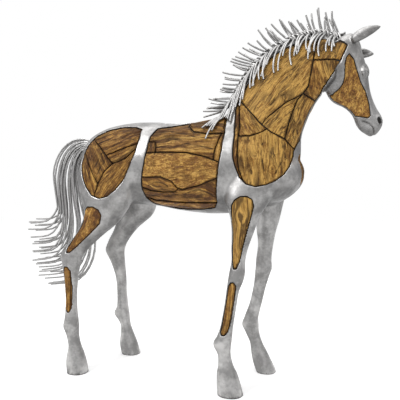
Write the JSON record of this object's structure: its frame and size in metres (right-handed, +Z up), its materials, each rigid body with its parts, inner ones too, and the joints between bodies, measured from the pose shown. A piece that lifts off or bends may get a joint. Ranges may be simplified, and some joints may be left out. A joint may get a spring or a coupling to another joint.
{
  "type": "driftwood horse sculpture",
  "caption": "Standing horse sculpture of cast aluminium inlaid with fitted driftwood panels, with a bristling mane and arched tail of bent rods.",
  "frame": {"origin": "middle of the whole sculpture's footprint box, on the floor", "axes": "+X from the tail towards the head, +Y to the horse's left, +Z up"},
  "size_m": [2.205, 0.5257, 2.0663],
  "materials": {
    "cast_aluminium": "satin, ground by hand, softly mottled",
    "aluminium_rod": "satin bent rod",
    "driftwood": "oiled golden-brown root wood with dark cracks and knots"
  },
  "bodies": {
    "root": {"breast_panel": "driftwood", "horse_casting": "cast_aluminium", "left_barrel_back_plank": "driftwood", "left_barrel_belly_strip": "driftwood", "left_barrel_burl": "driftwood", "left_barrel_corner_block": "driftwood", "left_barrel_girth_strip": "driftwood", "left_barrel_leaf": "driftwood", "left_barrel_low_plank": "driftwood", "left_barrel_withers_plank": "driftwood", "left_cheek_panel": "driftwood", "left_fore_cannon_panel": "driftwood", "left_forearm_panel": "driftwood", "left_gaskin_panel": "driftwood", "left_hind_cannon_panel": "driftwood", "left_neck_crest_plank": "driftwood", "left_neck_middle_wedge": "driftwood", "left_neck_poll_block": "driftwood", "left_neck_throat_block": "driftwood", "left_neck_throat_strip": "driftwood", "left_neck_withers_wedge": "driftwood", "left_rump_croup_plank": "driftwood", "left_rump_edge_sliver": "driftwood", "left_rump_hip_wedge": "driftwood", "left_rump_striped_block": "driftwood", "left_rump_thigh_slab": "driftwood", "left_shoulder_edge_strip": "driftwood", "left_shoulder_slab": "driftwood", "mane": "aluminium_rod", "right_barrel_back_plank": "driftwood", "right_barrel_belly_strip": "driftwood", "right_barrel_burl": "driftwood", "right_barrel_corner_block": "driftwood", "right_barrel_girth_strip": "driftwood", "right_barrel_leaf": "driftwood", "right_barrel_low_plank": "driftwood", "right_barrel_withers_plank": "driftwood", "right_cheek_panel": "driftwood", "right_fore_cannon_panel": "driftwood", "right_forearm_panel": "driftwood", "right_gaskin_panel": "driftwood", "right_hind_cannon_panel": "driftwood", "right_neck_crest_plank": "driftwood", "right_neck_middle_wedge": "driftwood", "right_neck_poll_block": "driftwood", "right_neck_throat_block": "driftwood", "right_neck_throat_strip": "driftwood", "right_neck_withers_wedge": "driftwood", "right_rump_croup_plank": "driftwood", "right_rump_edge_sliver": "driftwood", "right_rump_hip_wedge": "driftwood", "right_rump_striped_block": "driftwood", "right_rump_thigh_slab": "driftwood", "right_shoulder_edge_strip": "driftwood", "right_shoulder_slab": "driftwood", "tail": "aluminium_rod", "withers_block": "driftwood"}
  },
  "joints": []
}
